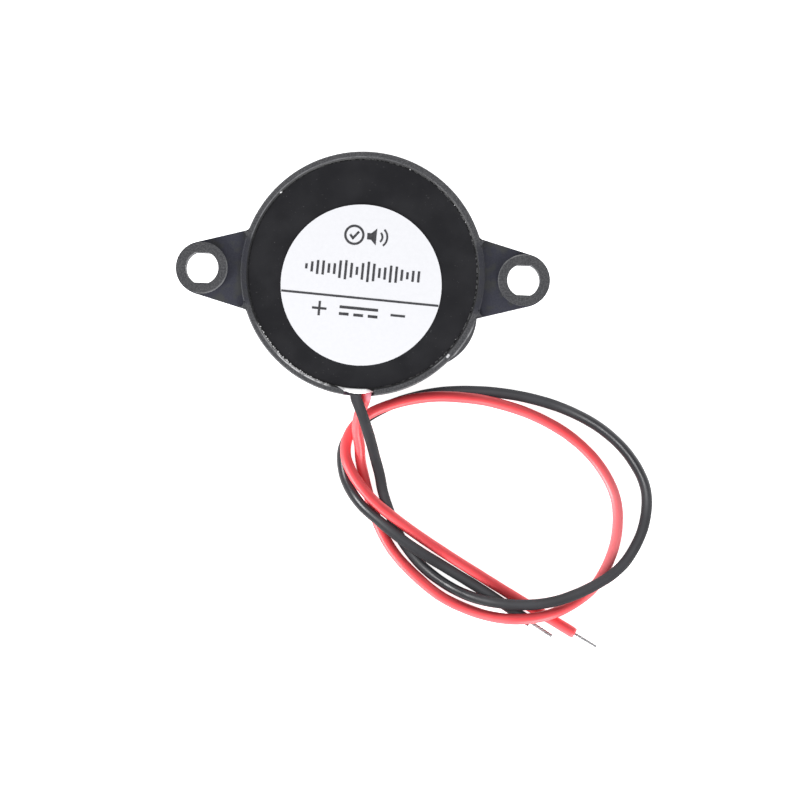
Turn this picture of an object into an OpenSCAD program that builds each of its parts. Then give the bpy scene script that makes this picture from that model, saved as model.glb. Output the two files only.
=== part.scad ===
// Active piezo buzzer with two mounting ears and two flying leads, in millimetres.
// It lies on its front, the face with the sound hole, and +Z points out of its labelled back.
// The origin is the middle of the front face, and the ears lie along X.

/* [Body] */
// Diameter of the round body
body_d = 30.4; // [29:0.1:34]
// Thickness of the front face
front_wall = 1.2; // [0.8:0.1:2]
// Rounding of the edge round the front face
front_edge_r = 0.8; // [0.3:0.1:1.2]
// Thickness of the rim round the back cover
rim_wall = 0.9; // [0.6:0.05:1.1]
// Bevel on the outside of the rim
rim_bevel = 0.15; // [0.05:0.05:0.25]
// Bevel on the inside of the rim
rim_inner_bevel = 0.2; // [0.05:0.05:0.25]
// Diameter of the sound hole
sound_hole_d = 4; // [2:0.5:8]
// Bevel round the sound hole
sound_hole_bevel = 0.4; // [0.1:0.1:0.8]
// Depth of the chamber in front of the diaphragm
chamber_h = 2; // [1:0.1:2.4]
// Width of the step that the diaphragm is glued to
diaphragm_step = 1.2; // [0.8:0.1:2]
// Width of the step that the circuit board sits on
board_step = 0.3; // [0.2:0.05:0.6]
// Width of the step that the back cover sits on
cover_step = 0.4; // [0.2:0.05:0.8]
// Height of the moulding gate's stub beside the rim
gate_h = 3; // [1:0.1:5]
// How far the gate's stub stands out of the wall
gate_proud = 0.5; // [0.2:0.05:0.8]
// Radius of the gate stub's round face
gate_face_r = 5; // [4:0.1:8]
// Place of the gate's stub round the body, in degrees
gate_angle = -33; // [-45:1:-25]

/* [Ears] */
// Distance between the two mounting holes
hole_spacing = 40; // [38:0.5:48]
// Diameter of a mounting hole
hole_d = 4.1; // [3:0.1:4.6]
// Width of a mounting hole across its two flats
hole_flats = 3.74; // [2.9:0.02:4]
// Diameter of the raised ring round a mounting hole
ring_d = 6.4; // [6:0.1:6.6]
// Radius of an ear's round end
ear_end_r = 3.3; // [3.3:0.1:4.2]
// Taper of each side of an ear, in degrees
ear_taper = 15.3; // [8:0.1:18]
// Thickness of an ear at its ring
ear_t = 2.4; // [1.6:0.1:4]
// Depth of the hollow between the ring and the body
ear_hollow = 0.6; // [0.2:0.1:1]
// Fillet between an ear's side and the body
ear_fillet_r = 0.4; // [0.2:0.1:0.8]
// Radius of the hollow's corners beside the body
hollow_corner_r = 0.6; // [0.4:0.1:0.9]

/* [Back cover] */
// Thickness of the back cover
cover_t = 0.8; // [0.5:0.1:1.2]
// How far the cover lies below the rim
cover_sink = 0.2; // [0.2:0.05:0.4]
// Width of the glued groove round the cover
cover_groove = 0.15; // [0.1:0.05:0.3]
// Depth of the glue in the groove, measured from the cover's outer face
glue_drop = 0.1; // [0.05:0.05:0.3]
// Diameter of the paper label
label_d = 20; // [12:0.5:24]
// Thickness of the paper label
label_t = 0.12; // [0.08:0.02:0.18]
// Sideways place of the label's middle
label_x = -0.15; // [-0.5:0.05:0.5]
// Place of the label's middle towards the leads
label_y = -1.4; // [-1.5:0.1:1.5]

/* [Leads] */
// Diameter of a lead over its insulation
lead_d = 1.4; // [1.2:0.05:1.4]
// Diameter of a lead's tinned conductor
core_d = 0.5; // [0.3:0.05:0.6]
// Length of the bare tinned end
tinned_len = 3.3; // [2:0.1:8]
// Play between a lead and its hole in the sealant
lead_play = 0.03; // [0.02:0.01:0.1]
// Width of the notch in the wall
notch_w = 3.8; // [3.4:0.1:4.2]
// Sideways place of the notch's middle
notch_x = 0.05; // [-0.2:0.05:0.3]
// Width of the white sealant round the leads
sealant_w = 5; // [4.6:0.1:6]
// Sideways place of the sealant's middle
sealant_x = -0.35; // [-0.5:0.05:0]
// Depth of the sealant, from the wall inwards
sealant_depth = 0.8; // [0.5:0.1:1.2]
// How far the sealant in the notch stays behind the outside of the wall
sealant_back = 0.55; // [0.3:0.05:0.7]

/* [Piezo element] */
// Thickness of the brass diaphragm
diaphragm_t = 0.25; // [0.1:0.05:0.4]
// Play round the diaphragm and the circuit board
disc_play = 0.1; // [0.05:0.05:0.2]
// Height of the glue fillet on the diaphragm's edge
diaphragm_glue_h = 0.5; // [0.3:0.1:0.8]
// Width of the glue fillet on the diaphragm
diaphragm_glue_w = 0.5; // [0.3:0.1:0.8]
// Bare margin of the brass round the ceramic disc
ceramic_margin = 3.5; // [3.3:0.1:6]
// Thickness of the ceramic disc
ceramic_t = 0.2; // [0.1:0.05:0.3]
// Bare margin of the ceramic round its silver electrode
electrode_margin = 0.5; // [0.3:0.1:1]
// Thickness of the silver electrodes
electrode_t = 0.05; // [0.03:0.01:0.1]
// Width of the feedback electrode's tongue
tongue_w = 3; // [2:0.1:5]
// Length of the feedback electrode's tongue
tongue_len = 8; // [5:0.1:12]
// Bare gap between the two electrodes
electrode_gap = 0.5; // [0.3:0.1:1]

/* [Circuit board] */
// Room between the piezo element and the circuit board
board_room = 1.8; // [1.4:0.1:2.2]
// Thickness of the circuit board
board_t = 1; // [0.6:0.1:1.2]
// Room between the circuit board and the back cover
parts_room = 2.5; // [2.4:0.1:5]
// Diameter of the holes that the piezo wires pass through
wire_hole_d = 0.8; // [0.6:0.1:1.2]
// Diameter of a piezo wire
wire_d = 0.3; // [0.2:0.05:0.4]
// Diameter of a solder joint
solder_d = 1.6; // [1.2:0.1:2]
// Height of a solder joint
solder_h = 0.4; // [0.3:0.05:0.5]
// Length of the transistor's case
transistor_len = 2.9; // [2:0.1:4]
// Width of the transistor's case
transistor_w = 1.3; // [1:0.1:2]
// Height of the transistor's case
transistor_h = 1; // [0.6:0.1:1.4]
// Length of a chip resistor
resistor_len = 3.2; // [1.6:0.1:3.6]
// Width of a chip resistor
resistor_w = 1.6; // [0.8:0.1:2]
// Height of a chip resistor
resistor_h = 0.55; // [0.4:0.05:0.8]
// Diameter of the coil's ferrite core
coil_d = 4.6; // [3:0.1:6]
// Room between the coil's ferrite core and the back cover
coil_room = 0.4; // [0.1:0.1:0.8]
// Thickness of the core's two flanges
coil_flange = 0.45; // [0.3:0.05:0.6]
// Diameter of the core's waist
coil_waist_d = 2; // [1.4:0.1:2.6]
// Bare edge of the flanges outside the winding
coil_edge = 0.3; // [0.1:0.1:0.5]

/* [Hidden] */
$fn = 96;

// How far a cutter runs past what it cuts
past = 1;
body_r = body_d / 2;
wall_mid_r = body_r - rim_wall / 2;
cover_pocket_r = body_r - rim_wall;
board_pocket_r = cover_pocket_r - cover_step;
diaphragm_pocket_r = board_pocket_r - board_step;
chamber_r = diaphragm_pocket_r - diaphragm_step;
diaphragm_r = diaphragm_pocket_r - disc_play;
board_r = board_pocket_r - disc_play;
cover_r = cover_pocket_r - cover_groove;

diaphragm_z = front_wall + chamber_h;
ceramic_z = diaphragm_z + diaphragm_t;
electrode_z = ceramic_z + ceramic_t;
wired_z = electrode_z + electrode_t;
board_z = wired_z + board_room;
board_top = board_z + board_t;
cover_z = board_top + parts_room;
cover_top = cover_z + cover_t;
body_h = cover_top + cover_sink;
ear_z = body_h - ear_t;
hollow_z = body_h - ear_hollow;
glue_top = cover_top - glue_drop;
coil_h = parts_room - coil_room;

lead_r = lead_d / 2;
lead_hole_r = lead_r + lead_play;
// Sealant under the red lead's hole and over the black lead's hole
hole_skin = 0.05;
red_exit = [0.9, board_top + hole_skin + lead_hole_r];
black_exit = [-0.3, cover_z - hole_skin - lead_hole_r];
notch_floor = red_exit[1] - lead_hole_r;
sealant_inner_y = sealant_depth - board_pocket_r;
lead_inside = 0.3;
lead_outside = 0.1;
lead_start_y = sealant_inner_y + lead_inside;
lead_exit_y = -body_r - lead_outside;
pad_reach = 1.9;
pad_y = sealant_inner_y + pad_reach;
// The two leads' pads lie a little further apart than the leads
pad_spread = 0.2;
red_pad_x = red_exit[0] + pad_spread;
black_pad_x = black_exit[0] - pad_spread;
pad_solder_d = 0.85 * solder_d;
inner_core_d = 0.8 * core_d;

ceramic_r = diaphragm_r - ceramic_margin;
electrode_r = ceramic_r - electrode_margin;
tongue_angle = 115;
ground_angle = 192;
drive_angle = -48;
drive_inset = 2.5;
ground_wire_at = on_circle((ceramic_r + diaphragm_r - diaphragm_glue_w) / 2, ground_angle);
drive_wire_at = on_circle(electrode_r - drive_inset, drive_angle);
feedback_wire_at = on_circle(electrode_r - tongue_w / 2, tongue_angle);
transistor_at = [-5, -3];
base_resistor_at = [-5, 1.5];
feedback_resistor_at = [0, -4.5];
coil_at = [4.5, 3.5];

// Points along the red lead's middle outside, down to the floor and round the loop; y counts from the wall
RED_WAY = [
    [0.65, -1, 6.8], [0.15, -2.4, 5.5], [-0.05, -4.2, 3.8], [0.32, -6.3, 2.3], [0.5, -8.2, 1.3],
    [1.12, -10.7, 0.75], [2.1, -13.8, 0.7], [3.5, -17.1, 0.7], [5.4, -20, 0.7], [8.2, -22.75, 0.7],
    [11.5, -25.2, 0.7], [15.4, -26.85, 0.8], [18.4, -27.5, 1.5], [21, -27.6, 2.2], [23.8, -27.25, 2.3],
    [26.2, -26.5, 2], [28.8, -25.15, 0.85], [30.8, -23.4, 0.7], [32.5, -20.5, 0.7], [33.6, -16.4, 0.7],
    [33.3, -11.8, 0.7], [31, -7.6, 0.7], [27.2, -4.1, 0.7], [22.4, -1.6, 0.8], [17.6, -0.2, 1.4],
    [14, 0.3, 2], [9.4, 0.3, 2.2], [5, -0.6, 2.2], [1.2, -2.3, 2.2], [-1, -4.7, 2.2],
    [-1.42, -7.4, 2.2], [-0.35, -10, 2.2], [2.25, -13.1, 2.2], [5.5, -15.6, 2.1], [8.6, -17.7, 1.3],
    [12, -19.8, 0.7], [20, -24.4, 0.7], [28.7, -29.25, 0.7]];

// Points along the black lead's middle outside
BLACK_WAY = [
    [0.05, -1, 8.4], [0.6, -2.3, 8.2], [1.15, -3.8, 7], [1.75, -5.6, 5.1], [2.35, -7.7, 3],
    [3, -9.9, 1.4], [3.5, -12.1, 0.7], [4.5, -14.8, 0.7], [6, -17.9, 0.7], [8.7, -21.2, 0.7],
    [12, -23.6, 0.7], [15, -24.9, 1.5], [17.8, -25.5, 2.2], [21.5, -25.75, 2.3], [25, -25.3, 2.75],
    [28, -24.3, 3], [31, -22.8, 2.7], [33.3, -21.3, 1.9], [35.2, -19.3, 0.9], [37, -15.2, 0.7],
    [37.1, -10.5, 0.7], [34.9, -6.4, 0.7], [31.3, -3.1, 0.7], [26.8, -0.8, 0.7], [21.8, 0.6, 0.7],
    [16.4, 1.2, 0.7], [11, 1, 0.7], [6.2, -0.1, 0.7], [2.4, -1.8, 0.7], [-0.35, -4, 0.7],
    [-1.8, -6.8, 0.7], [-1.5, -10.2, 1.1], [0.42, -13.4, 2.1], [3.6, -16.1, 2.2], [6.6, -18.3, 2.2],
    [9, -19.8, 1.7], [11.6, -21.3, 0.8], [16.4, -24, 0.7], [23, -28, 0.7]];

RED_ROUTE = route(red_exit, RED_WAY);
BLACK_ROUTE = route(black_exit, BLACK_WAY);

HOUSING_COLOUR = [0.24, 0.24, 0.25];
COVER_COLOUR = [0.16, 0.16, 0.17];
TIN_COLOUR = [0.7, 0.7, 0.72];

function unit(v) = v / norm(v);
function on_circle(r, a) = r * [cos(a), sin(a)];
function last(list) = list[len(list) - 1];
// A lead's points: straight through the sealant and the notch, then along its way outside
function route(exit, way) = concat(
    [[exit[0], lead_start_y, exit[1]], [exit[0], lead_exit_y, exit[1]]],
    [for (p = way) p - [0, body_r, 0]]);
// Direction of a route at its point i, the mean of the stretches on each side
function heading(route, i) =
    i == 0 ? unit(route[1] - route[0]) :
    i == len(route) - 1 ? unit(route[i] - route[i - 1]) :
    unit(unit(route[i + 1] - route[i]) + unit(route[i] - route[i - 1]));
// Ring of points round a route's point i
function tube_ring(route, r, sides, up, i) =
    let (dir = heading(route, i), across = unit(cross(dir, up)), above = cross(across, dir))
    [for (k = [0:sides - 1]) let (a = (k + 0.5) * 360 / sides)
        route[i] + r * (cos(a) * across + sin(a) * above)];

// Round tube swept along a route; up is any direction that the route never takes
module tube(route, d, up = [0, 0, 1], sides = 8) {
    rings = len(route);
    points = [for (i = [0:rings - 1]) each tube_ring(route, d / 2, sides, up, i)];
    start_face = [for (k = [0:sides - 1]) k];
    end_face = [for (k = [sides - 1:-1:0]) (rings - 1) * sides + k];
    walls = [for (i = [0:rings - 2]) for (k = [0:sides - 1])
        [i * sides + k, (i + 1) * sides + k, (i + 1) * sides + (k + 1) % sides, i * sides + (k + 1) % sides]];
    polyhedron(points, concat([start_face, end_face], walls), convexity = 6);
}

// Section of the body: front face, edge, wall, rim and the three steps inside
module body_section() {
    hole_r = sound_hole_d / 2;
    edge = [for (a = [-90:15:0])
        [body_r - front_edge_r + front_edge_r * cos(a), front_edge_r + front_edge_r * sin(a)]];
    polygon(concat(
        [[hole_r + sound_hole_bevel, 0]],
        edge,
        [[body_r, body_h - rim_bevel], [body_r - rim_bevel, body_h],
        [cover_pocket_r + rim_inner_bevel, body_h], [cover_pocket_r, body_h - rim_inner_bevel],
        [cover_pocket_r, cover_z], [board_pocket_r, cover_z], [board_pocket_r, board_z],
        [diaphragm_pocket_r, board_z], [diaphragm_pocket_r, diaphragm_z], [chamber_r, diaphragm_z],
        [chamber_r, front_wall], [hole_r, front_wall], [hole_r, sound_hole_bevel]]));
}

// An ear's side is a line at this distance from the origin, along ear_normal
ear_normal = [sin(ear_taper), cos(ear_taper)];
ear_side = [cos(ear_taper), -sin(ear_taper)];
ear_line = hole_spacing / 2 * sin(ear_taper) + ear_end_r;
ear_corner = ear_line * ear_normal + sqrt(body_r ^ 2 - ear_line ^ 2) * ear_side;

// Filler of radius r in the corner where an ear's side meets the body, outside the ear or inside it
module corner_filler(r, outside) {
    way = outside ? 1 : -1;
    reach = ear_line + way * r;
    middle = reach * ear_normal + sqrt((body_r + r) ^ 2 - reach ^ 2) * ear_side;
    difference() {
        polygon([ear_corner * wall_mid_r / body_r, middle - way * r * ear_normal, middle,
            middle * body_r / (body_r + r)]);
        translate(middle) circle(r, $fn = 32);
    }
}

module both_sides() {
    children();
    mirror([0, 1]) children();
}

module ear_outline() {
    end = [hole_spacing / 2, 0] + ear_end_r * ear_normal;
    root = ear_corner - 2 * ear_side;
    polygon([root, end, [end[0], -end[1]], [root[0], -root[1]]]);
    translate([hole_spacing / 2, 0]) circle(ear_end_r);
}

module outside_wall() {
    difference() {
        children();
        circle(wall_mid_r);
    }
}

// One ear: a hollowed plate, a ring round the hole and the plate's full height in its root corners
module ear() {
    translate([0, 0, ear_z]) {
        linear_extrude(hollow_z - ear_z) outside_wall() ear_outline();
        linear_extrude(ear_t) {
            translate([hole_spacing / 2, 0]) circle(d = ring_d);
            both_sides() outside_wall() corner_filler(hollow_corner_r, false);
        }
        linear_extrude(ear_t) both_sides() outside_wall() corner_filler(ear_fillet_r, true);
    }
}

// Round hole with two flats, which run along X
module mounting_hole() {
    hole_h = ear_t + 2 * past;
    translate([hole_spacing / 2, 0, ear_z - past]) intersection() {
        cylinder(h = hole_h, d = hole_d);
        translate([-hole_d, -hole_flats / 2, 0]) cube([2 * hole_d, hole_flats, hole_h]);
    }
}

// Stub where the moulding gate was cut off, a low round swelling of the wall
module gate_stub() {
    rotate(gate_angle) translate([0, 0, body_h - rim_bevel - gate_h]) difference() {
        translate([body_r + gate_proud - gate_face_r, 0]) cylinder(h = gate_h, r = gate_face_r);
        translate([0, 0, -past]) cylinder(h = gate_h + 2 * past, r = wall_mid_r);
    }
}

// Slot in the wall for the two leads, open at the rim and round in its lower corners
module lead_notch() {
    left = notch_x - notch_w / 2;
    right = notch_x + notch_w / 2;
    depth = body_r - board_pocket_r + 2 * past;
    translate([0, past - board_pocket_r, 0]) rotate([90, 0, 0]) linear_extrude(depth) {
        translate([left, notch_floor + lead_hole_r]) square([notch_w, body_h]);
        translate([left + lead_hole_r, notch_floor]) square([notch_w - 2 * lead_hole_r, body_h]);
        for (x = [left + lead_hole_r, right - lead_hole_r])
            translate([x, notch_floor + lead_hole_r]) circle(lead_hole_r);
    }
}

module housing() {
    color(HOUSING_COLOUR) difference() {
        union() {
            rotate_extrude() body_section();
            for (turn = [0, 180]) rotate(turn) ear();
            gate_stub();
        }
        for (turn = [0, 180]) rotate(turn) mounting_hole();
        lead_notch();
    }
}

module back_cover() {
    color(COVER_COLOUR) translate([0, 0, cover_z]) cylinder(h = cover_t, r = cover_r);
}

// The stretch of the body's edge that the sealant takes up
module sealant_stretch() {
    translate([sealant_x - sealant_w / 2, -body_r]) square([sealant_w, body_r / 2]);
}

// The open groove between the cover and the rim
module groove() {
    difference() {
        circle(cover_pocket_r);
        circle(cover_r);
    }
}

module cover_glue() {
    color([0.3, 0.3, 0.31]) translate([0, 0, cover_z]) linear_extrude(glue_top - cover_z) difference() {
        groove();
        sealant_stretch();
    }
}

module label() {
    color("white") translate([label_x, label_y, cover_top]) cylinder(h = label_t, d = label_d);
}

module lead_holes() {
    for (exit = [red_exit, black_exit])
        translate([exit[0], sealant_inner_y + past, exit[1]]) rotate([90, 0, 0])
            cylinder(h = body_r, r = lead_hole_r, $fn = 32);
}

// The sealant that fills the notch, up to the cover's edge
module notch_plug() {
    plug_face = sealant_back - body_r;
    plug_depth = sealant_inner_y - plug_face - sealant_depth / 2;
    intersection() {
        lead_notch();
        difference() {
            translate([-body_r, plug_face, 0]) cube([2 * body_r, plug_depth, glue_top]);
            translate([0, 0, cover_z]) cylinder(h = cover_t, r = cover_r);
        }
    }
}

// White sealant: a dam round the leads inside the wall, a plug in the notch and a stretch of the groove
module lead_sealant() {
    color("white") difference() {
        union() {
            translate([0, 0, board_top]) linear_extrude(cover_z - board_top) intersection() {
                difference() {
                    circle(board_pocket_r);
                    translate([-body_r, sealant_inner_y]) square(2 * body_r);
                }
                sealant_stretch();
            }
            translate([0, 0, cover_z]) linear_extrude(glue_top - cover_z) intersection() {
                groove();
                sealant_stretch();
            }
            notch_plug();
        }
        lead_holes();
    }
}

module diaphragm() {
    color([0.8, 0.65, 0.3]) translate([0, 0, diaphragm_z]) cylinder(h = diaphragm_t, r = diaphragm_r);
}

module ceramic_disc() {
    color([0.85, 0.83, 0.75]) translate([0, 0, ceramic_z]) cylinder(h = ceramic_t, r = ceramic_r);
}

// The feedback tongue's outline, grown on every side by more
module tongue(more = 0) {
    rotate(tongue_angle) translate([electrode_r - tongue_len, 0]) {
        translate([0, -tongue_w / 2 - more]) square([tongue_len + electrode_margin, tongue_w + 2 * more]);
        circle(tongue_w / 2 + more);
    }
}

module drive_electrode() {
    color(TIN_COLOUR) translate([0, 0, electrode_z]) linear_extrude(electrode_t) difference() {
        circle(electrode_r);
        tongue(electrode_gap);
    }
}

module feedback_electrode() {
    color(TIN_COLOUR) translate([0, 0, electrode_z]) linear_extrude(electrode_t) intersection() {
        circle(electrode_r);
        tongue();
    }
}

// Fillet of glue that fills the play round the diaphragm and runs onto its edge
module diaphragm_glue() {
    color([0.75, 0.72, 0.6]) rotate_extrude() polygon([
        [diaphragm_r, diaphragm_z], [diaphragm_pocket_r, diaphragm_z],
        [diaphragm_pocket_r, ceramic_z + diaphragm_glue_h], [diaphragm_r - diaphragm_glue_w, ceramic_z],
        [diaphragm_r, ceramic_z]]);
}

module solder_joint(h = solder_h, d = solder_d) {
    cylinder(h = h, d1 = d, d2 = d / 2, $fn = 24);
}

// Solder on the brass edge and on the two electrodes
module disc_solder() {
    color(TIN_COLOUR) {
        translate([ground_wire_at[0], ground_wire_at[1], ceramic_z]) solder_joint();
        for (at = [drive_wire_at, feedback_wire_at])
            translate([at[0], at[1], wired_z]) solder_joint();
    }
}

// A piezo wire stands on its solder, bows to one side and passes up through its hole in the board
module piezo_wire(at, base) {
    bow = [0.15, 0];
    room = board_z - base;
    way = [[at, 0], [at, 0.2], [at + bow, 0.4], [at + bow, 0.6], [at, 0.8], [at, 1]];
    tube(concat([for (p = way) [p[0][0], p[0][1], base + p[1] * room]], [[at[0], at[1], board_top]]),
        wire_d, up = [0, 1, 0]);
}

module ground_wire() {
    color("black") piezo_wire(ground_wire_at, ceramic_z + solder_h);
}

module drive_wire() {
    color("red") piezo_wire(drive_wire_at, wired_z + solder_h);
}

module feedback_wire() {
    color("blue") piezo_wire(feedback_wire_at, wired_z + solder_h);
}

module circuit_board() {
    color([0.1, 0.4, 0.25]) difference() {
        translate([0, 0, board_z]) cylinder(h = board_t, r = board_r);
        for (at = [ground_wire_at, drive_wire_at, feedback_wire_at])
            translate([at[0], at[1], board_z - past])
                cylinder(h = board_t + 2 * past, d = wire_hole_d, $fn = 24);
    }
}

module board_solder() {
    color(TIN_COLOUR) {
        for (at = [ground_wire_at, drive_wire_at, feedback_wire_at])
            translate([at[0], at[1], board_top]) solder_joint();
        for (x = [red_pad_x, black_pad_x])
            translate([x, pad_y, board_top]) solder_joint(d = pad_solder_d);
    }
}

// Small three-legged case: two legs on one long side and one on the other
module transistor() {
    leg = [0.4, 0.6, 0.15];
    pitch = 1.9;
    color([0.15, 0.15, 0.16]) translate(concat(transistor_at, board_top)) {
        translate([-transistor_len / 2, -transistor_w / 2, leg[2]])
            cube([transistor_len, transistor_w, transistor_h - leg[2]]);
        for (x = [-pitch / 2, pitch / 2]) translate([x - leg[0] / 2, -transistor_w / 2 - leg[1] / 2, 0])
            cube([leg[0], leg[1], 2 * leg[2]]);
        translate([-leg[0] / 2, transistor_w / 2 - leg[1] / 2, 0]) cube([leg[0], leg[1], 2 * leg[2]]);
    }
}

// Ceramic chip with a slightly thicker metal cap on each end
module chip_resistor() {
    cap = 0.5;
    rise = 0.05;
    translate([-resistor_len / 2 + cap, -resistor_w / 2 + rise, rise])
        cube([resistor_len - 2 * cap, resistor_w - 2 * rise, resistor_h - 2 * rise]);
    for (x = [-resistor_len / 2, resistor_len / 2 - cap])
        translate([x, -resistor_w / 2, 0]) cube([cap, resistor_w, resistor_h]);
}

module base_resistor() {
    color([0.2, 0.2, 0.2]) translate(concat(base_resistor_at, board_top)) chip_resistor();
}

module feedback_resistor() {
    color([0.2, 0.2, 0.2]) translate(concat(feedback_resistor_at, board_top)) rotate(90) chip_resistor();
}

module coil_place() {
    translate(concat(coil_at, board_top)) children();
}

// Bobbin-shaped ferrite core standing on the board
module coil_core() {
    color([0.25, 0.25, 0.27]) coil_place() rotate_extrude($fn = 48) polygon([[0, 0], [coil_d / 2, 0],
        [coil_d / 2, coil_flange], [coil_waist_d / 2, coil_flange], [coil_waist_d / 2, coil_h - coil_flange],
        [coil_d / 2, coil_h - coil_flange], [coil_d / 2, coil_h], [0, coil_h]]);
}

module coil_winding() {
    wound_r = coil_d / 2 - coil_edge;
    color([0.75, 0.4, 0.2]) coil_place() translate([0, 0, coil_flange]) difference() {
        cylinder(h = coil_h - 2 * coil_flange, r = wound_r, $fn = 48);
        translate([0, 0, -past]) cylinder(h = coil_h + 2 * past, d = coil_waist_d, $fn = 48);
    }
}

module red_lead() {
    color([0.92, 0.28, 0.3]) tube(RED_ROUTE, lead_d);
}

module black_lead() {
    color([0.25, 0.25, 0.27]) tube(BLACK_ROUTE, lead_d);
}

// The bare conductor inside the housing, which bends sideways and down onto its solder
module inner_core(exit, pad_x) {
    straight = 0.7;
    bend = 0.35;
    dip = 0.1;
    tip = board_top + solder_h;
    knee = (exit[1] + tip) / 2;
    tube([[exit[0], lead_start_y, exit[1]], [exit[0], lead_start_y + straight, exit[1]],
        [pad_x, pad_y - bend, exit[1] - dip], [pad_x, pad_y, knee],
        [pad_x, pad_y, tip]], inner_core_d, up = [1, 0, 0]);
}

module red_lead_core() {
    color(TIN_COLOUR) inner_core(red_exit, red_pad_x);
}

module black_lead_core() {
    color(TIN_COLOUR) inner_core(black_exit, black_pad_x);
}

// The bare tinned end, which goes on from the insulation and drops a little
module tinned_tip(route) {
    end = last(route);
    dir = unit(end - route[len(route) - 2]);
    sag = [0, 0, -0.2];
    tube([end, end + dir * tinned_len / 2, end + dir * tinned_len + sag], core_d);
}

module red_lead_tip() {
    color(TIN_COLOUR) tinned_tip(RED_ROUTE);
}

module black_lead_tip() {
    color(TIN_COLOUR) tinned_tip(BLACK_ROUTE);
}

housing();
back_cover();
cover_glue();
label();
lead_sealant();
diaphragm();
ceramic_disc();
drive_electrode();
feedback_electrode();
diaphragm_glue();
disc_solder();
ground_wire();
drive_wire();
feedback_wire();
circuit_board();
board_solder();
transistor();
base_resistor();
feedback_resistor();
coil_core();
coil_winding();
red_lead();
black_lead();
red_lead_core();
black_lead_core();
red_lead_tip();
black_lead_tip();
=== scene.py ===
# %% [markdown]
# A piezo buzzer lies on its front, with its labelled back and two flying leads towards us. The CAD model gives
# every rigid piece at its true size. This lesson adds what Blender is good at: the run of the soft leads, the
# print on the label, the traces of glue, and the finish of each surface.

# %% Load the CAD model
import math
import bmesh
import bpy
from mathutils import Matrix, Vector


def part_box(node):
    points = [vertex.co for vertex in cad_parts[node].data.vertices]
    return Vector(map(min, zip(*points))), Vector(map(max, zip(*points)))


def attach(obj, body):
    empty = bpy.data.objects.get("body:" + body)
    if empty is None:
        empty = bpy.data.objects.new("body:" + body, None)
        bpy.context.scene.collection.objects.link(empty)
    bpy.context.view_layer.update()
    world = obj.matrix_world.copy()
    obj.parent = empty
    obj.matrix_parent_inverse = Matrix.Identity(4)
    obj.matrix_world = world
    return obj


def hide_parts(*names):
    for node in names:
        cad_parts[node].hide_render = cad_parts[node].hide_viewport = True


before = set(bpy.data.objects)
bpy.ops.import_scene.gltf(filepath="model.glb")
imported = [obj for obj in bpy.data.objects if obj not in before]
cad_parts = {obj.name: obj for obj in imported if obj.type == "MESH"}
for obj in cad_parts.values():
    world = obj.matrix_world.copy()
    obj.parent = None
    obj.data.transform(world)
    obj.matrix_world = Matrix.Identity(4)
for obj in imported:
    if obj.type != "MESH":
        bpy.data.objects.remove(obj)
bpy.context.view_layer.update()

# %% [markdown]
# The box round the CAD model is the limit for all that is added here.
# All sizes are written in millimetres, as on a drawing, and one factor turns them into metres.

MM = 0.001
ROOT = "root"


def height_of(node):
    """Height of a CAD node's top in millimetres."""
    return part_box(node)[1][2] / MM


def new_object(name, data):
    """An object made of this data, shown in the scene."""
    made = bpy.data.objects.new(name, data)
    bpy.context.collection.objects.link(made)
    return made


rim_top = height_of("housing")
label_top = height_of("label")
body_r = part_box("housing")[1][1] / MM
print(f"rim {rim_top:.2f} mm, label {label_top:.2f} mm, body radius {body_r:.2f} mm")

# %% [markdown]
# The photograph looks straight down from about 30 cm, and is turned by a little over two degrees. A long lens
# at that height gives the same flat look. An unturned camera looks down, so this one only turns about Z.

# %% The camera at the photograph's view
CAMERA_AT = (5.23, -15.47, 310)
CAMERA_TURN = 2.24
VIEW_WIDTH = 99.3
VIEW_DISTANCE = 300
SENSOR = 36

camera_data = bpy.data.cameras.new("camera")
camera_data.sensor_width = SENSOR
camera_data.lens = SENSOR * VIEW_DISTANCE / VIEW_WIDTH
camera_data.clip_start = 10 * MM
camera = new_object("camera", camera_data)
camera.location = Vector(CAMERA_AT) * MM
camera.rotation_euler = (0, 0, math.radians(CAMERA_TURN))
bpy.context.scene.camera = camera
print(f"lens {camera_data.lens:.1f} mm")

# %% [markdown]
# Each lead leaves the notch in the rim, drops to the table and lies there in one loop, where the two cross each
# other and themselves. The points are the same as in the CAD model: x, distance from the wall, and height.
# A plain spline would swing past them. A Catmull-Rom curve stays close to them, and is kept above the table.

# %% The leads' routes
LEAD_D = 1.4
LEAD_R = LEAD_D / 2
RED_EXIT = (0.9, 7.28)
BLACK_EXIT = (-0.3, 8.22)
INSIDE_Y = 2.4
OUTSIDE_Y = -0.1
ROUTE_STEP = 0.35

RED_WAY = [
    (0.65, -1, 6.8), (0.15, -2.4, 5.5), (-0.05, -4.2, 3.8), (0.32, -6.3, 2.3), (0.5, -8.2, 1.3),
    (1.12, -10.7, 0.75), (2.1, -13.8, 0.7), (3.5, -17.1, 0.7), (5.4, -20, 0.7), (8.2, -22.75, 0.7),
    (11.5, -25.2, 0.7), (15.4, -26.85, 0.8), (18.4, -27.5, 1.5), (21, -27.6, 2.2), (23.8, -27.25, 2.3),
    (26.2, -26.5, 2), (28.8, -25.15, 0.85), (30.8, -23.4, 0.7), (32.5, -20.5, 0.7), (33.6, -16.4, 0.7),
    (33.3, -11.8, 0.7), (31, -7.6, 0.7), (27.2, -4.1, 0.7), (22.4, -1.6, 0.8), (17.6, -0.2, 1.4),
    (14, 0.3, 2), (9.4, 0.3, 2.2), (5, -0.6, 2.2), (1.2, -2.3, 2.2), (-1, -4.7, 2.2),
    (-1.42, -7.4, 2.2), (-0.35, -10, 2.2), (2.25, -13.1, 2.2), (5.5, -15.6, 2.1), (8.6, -17.7, 1.3),
    (12, -19.8, 0.7), (20, -24.4, 0.7), (28.7, -29.25, 0.7)]
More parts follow.
